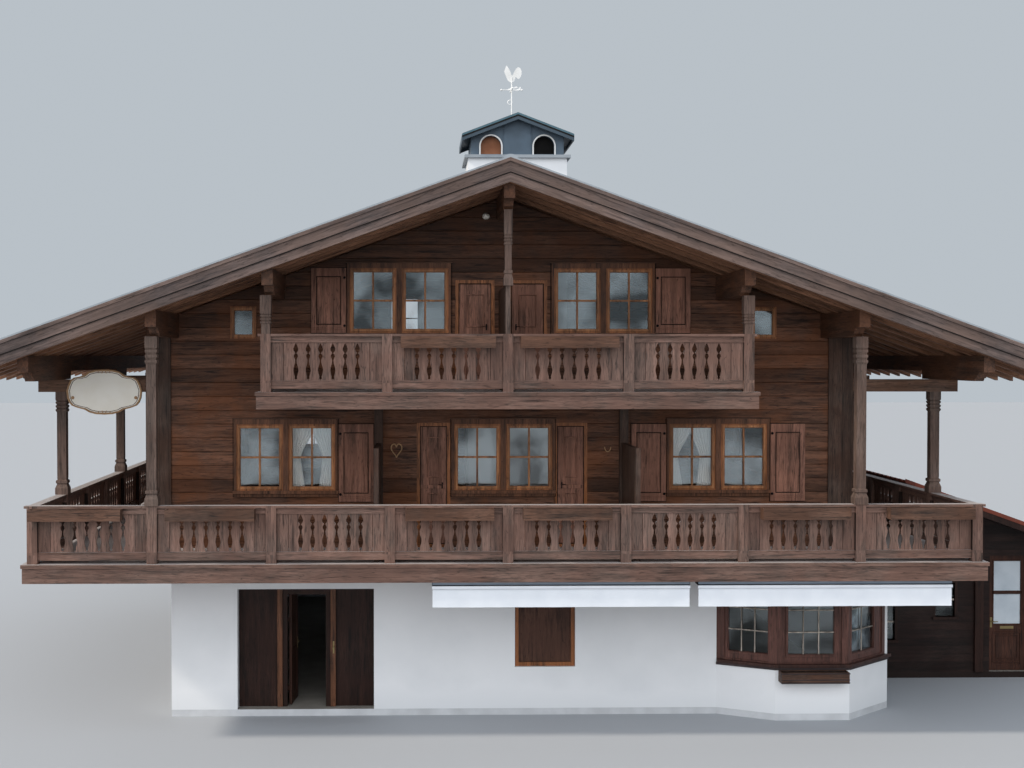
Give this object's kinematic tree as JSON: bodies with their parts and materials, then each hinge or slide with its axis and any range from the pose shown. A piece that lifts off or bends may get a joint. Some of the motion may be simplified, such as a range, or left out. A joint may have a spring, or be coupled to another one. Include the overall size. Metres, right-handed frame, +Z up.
{
  "type": "alpine chalet",
  "caption": "Alpine chalet with a plastered ground floor, log storeys, carved balconies, a low gable roof and a chimney with a weathercock.",
  "frame": {"origin": "centre of the log house on the ground, on the underside of the ground slab", "axes": "+X along the front to the viewer's right, +Y from the front into the house, +Z up"},
  "size_m": [21.06, 15.71, 12.4145],
  "materials": {
    "concrete": "trowelled concrete, matt",
    "lime_plaster": "fine lime plaster, painted white, matt",
    "log_timber": "squared spruce logs, dark brown stain, weathered",
    "balcony_timber": "planed spruce, brown stain, greyed by weather",
    "dark_timber": "planed boards, dark brown stain",
    "stained_larch": "planed larch, red-brown glaze, satin",
    "spruce_boards": "rough-sawn spruce boards and rafters",
    "roof_tile": "dark grey roof tiles, matt",
    "clay_tile": "red clay tiles, matt",
    "slate_cladding": "slate-blue painted sheet cladding",
    "sheet_metal": "green-grey roofing sheet",
    "forged_iron": "forged iron, painted white",
    "white_enamel": "white painted sheet steel",
    "window_glass": "clear window glass",
    "awning_white": "white powder coat with a white cloth valance",
    "sign_paint": "cream paint with a moulded tan edge"
  },
  "bodies": {
    "house": {"ground_slab": "concrete", "ground_front_wall": "lime_plaster", "entrance_lintel": "lime_plaster", "ground_side_walls": "lime_plaster", "ground_rear_wall": "lime_plaster", "bay_parapet": "lime_plaster", "bay_frame": "stained_larch", "entrance_front": "dark_timber", "first_floor": "concrete", "upper_floor": "spruce_boards", "front_log_wall": "log_timber", "rear_log_wall": "log_timber", "side_log_walls": "log_timber", "corner_boards": "log_timber", "lower_deck": "balcony_timber", "lower_front_railing": "balcony_timber", "lower_side_railings": "balcony_timber", "upper_deck": "balcony_timber", "upper_railing": "balcony_timber", "balcony_partitions": "log_timber", "gable_posts": "balcony_timber", "side_posts": "balcony_timber", "purlins": "log_timber", "consoles": "log_timber", "cross_beams": "log_timber", "roof_frame_left": "spruce_boards", "roof_frame_right": "spruce_boards", "covering_left": "roof_tile", "covering_right": "roof_tile", "bargeboards": "balcony_timber", "chimney_stack": "lime_plaster", "chimney_slab": "sheet_metal", "chimney_lantern": "slate_cladding", "chimney_roof": "sheet_metal", "weathervane_stand": "forged_iron", "window_frames": "stained_larch", "window_trim": "stained_larch", "glass_panes": "window_glass", "shutters": "dark_timber", "balcony_doors": "dark_timber", "flower_boxes": "dark_timber", "awnings": "awning_white", "sign_board": "sign_paint", "wing_walls": "dark_timber", "wing_lintel": "dark_timber", "wing_roof": "clay_tile"},
    "entrance_leaf": {"entrance_door": "dark_timber"},
    "wing_leaf": {"wing_door": "dark_timber", "wing_door_panes": "window_glass"},
    "weathercock_body": {"weathercock": "white_enamel"}
  },
  "joints": [
    {"name": "entrance_hinge", "type": "hinge", "parent": "house", "child": "entrance_leaf", "pos_m": [-3.826, -5.69, 1.2], "axis": [0, 0, 1], "range_deg": [-85, 10]},
    {"name": "wing_hinge", "type": "hinge", "parent": "house", "child": "wing_leaf", "pos_m": [10.696, -3.14, 1.2], "axis": [0, 0, -1], "range_deg": [0, 95]},
    {"name": "weathercock_spin", "type": "hinge", "parent": "house", "child": "weathercock_body", "pos_m": [0.46, -1.9, 12], "axis": [0, 0, 1], "continuous": true}
  ]
}
